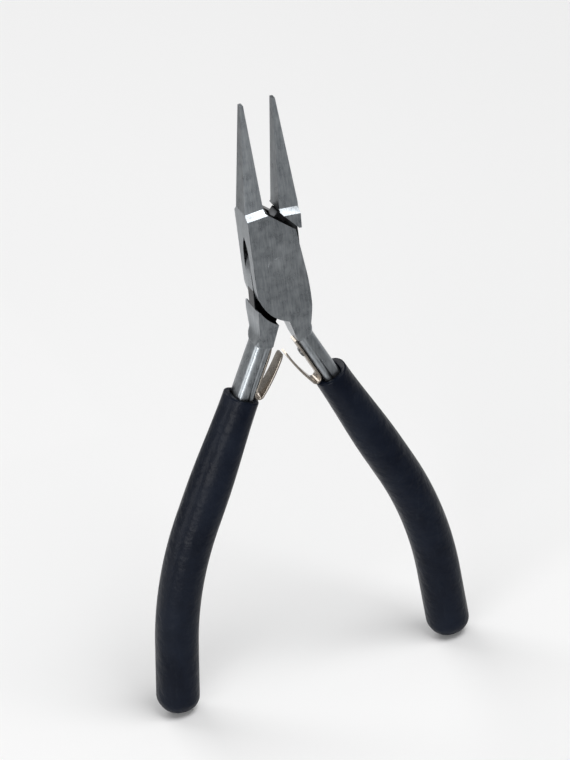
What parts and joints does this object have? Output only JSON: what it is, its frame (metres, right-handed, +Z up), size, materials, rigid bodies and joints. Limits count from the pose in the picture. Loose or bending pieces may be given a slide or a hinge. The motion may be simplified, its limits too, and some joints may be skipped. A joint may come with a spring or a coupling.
{
  "type": "flat nose pliers",
  "caption": "Small box-joint pliers with slim flat-faced jaws, leaf springs and vinyl-sleeved handles for gripping and bending wire.",
  "frame": {"origin": "middle of the footprint at the height of the handle ends", "axes": "+Z up the tool from the handle ends to the jaw tips, +X across the handles, -Y towards the front face of the box"},
  "size_m": [0.066, 0.0088, 0.1269],
  "materials": {
    "outer_half": "fine ground and satin polished tool steel",
    "inner_half": "fine ground and satin polished tool steel",
    "pivot_pin": "ground flush with the box faces",
    "left_leaf_spring": "bright rolled spring strip",
    "right_leaf_spring": "bright rolled spring strip",
    "left_spring_rivet": "plain upset head",
    "right_spring_rivet": "plain upset head",
    "left_grip": "satin black vinyl, lightly pebbled",
    "right_grip": "satin black vinyl, lightly pebbled"
  },
  "bodies": {
    "outer_half": {"outer_half": "outer_half", "pivot_pin": "pivot_pin", "right_leaf_spring": "right_leaf_spring", "right_spring_rivet": "right_spring_rivet", "right_grip": "right_grip"},
    "inner_half": {"inner_half": "inner_half", "left_leaf_spring": "left_leaf_spring", "left_spring_rivet": "left_spring_rivet", "left_grip": "left_grip"}
  },
  "joints": [
    {"name": "pivot", "type": "hinge", "parent": "outer_half", "child": "inner_half", "pos_m": [0, 0, 0.09207], "axis": [0, 1, 0], "range_deg": [-9.5, 15.4], "stiffness_Nm_per_rad": 1.2, "deforming": ["left_leaf_spring", "right_leaf_spring"]}
  ]
}
